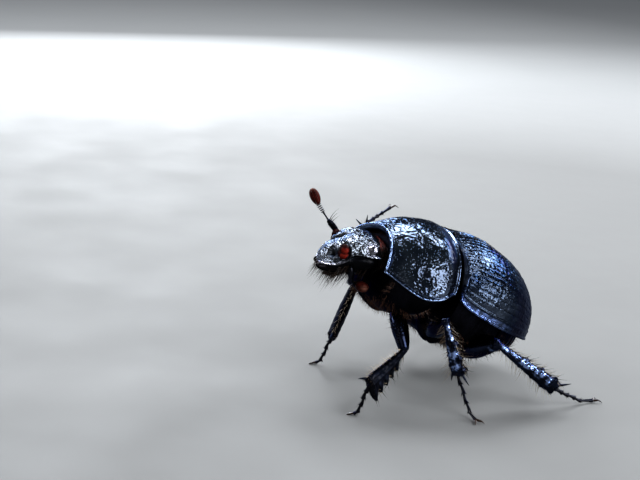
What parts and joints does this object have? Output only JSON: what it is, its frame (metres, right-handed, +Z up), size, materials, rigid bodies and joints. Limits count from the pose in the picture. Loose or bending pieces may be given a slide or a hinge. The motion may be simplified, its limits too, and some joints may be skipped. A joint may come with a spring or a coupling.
{
  "type": "dung beetle model",
  "caption": "Still, life-size model of a glossy blue-black dor beetle, head raised and turned, standing on its feet with one middle leg lifted.",
  "frame": {"origin": "on the floor, under the middle of the beetle's box", "axes": "+X to the beetle's left, +Y towards its tail, +Z up"},
  "size_m": [0.0179, 0.0172, 0.012],
  "materials": {
    "shell_black": "glossy blue-black cuticle",
    "leg_black": "satin blue-black cuticle",
    "eye_red": "glossy dark red",
    "club_red": "velvety oxblood red"
  },
  "bodies": {
    "root": {"abdomen": "shell_black", "antenna_club_left": "club_red", "antenna_club_right": "club_red", "antenna_stalk_left": "leg_black", "antenna_stalk_right": "leg_black", "elytron_left": "shell_black", "elytron_right": "shell_black", "eye_left": "eye_red", "eye_right": "eye_red", "femur_front_left": "leg_black", "femur_front_right": "leg_black", "femur_hind_left": "leg_black", "femur_hind_right": "leg_black", "femur_middle_left": "leg_black", "femur_middle_right": "leg_black", "head": "shell_black", "hind_thorax": "shell_black", "labrum": "shell_black", "mandible_left": "shell_black", "mandible_right": "shell_black", "palp_left": "leg_black", "palp_right": "leg_black", "pronotum": "shell_black", "prothorax": "shell_black", "scutellum": "shell_black", "tarsus_front_left": "leg_black", "tarsus_front_right": "leg_black", "tarsus_hind_left": "leg_black", "tarsus_hind_right": "leg_black", "tarsus_middle_left": "leg_black", "tarsus_middle_right": "leg_black", "tibia_front_left": "leg_black", "tibia_front_right": "leg_black", "tibia_hind_left": "leg_black", "tibia_hind_right": "leg_black", "tibia_middle_left": "leg_black", "tibia_middle_right": "leg_black"}
  },
  "joints": []
}
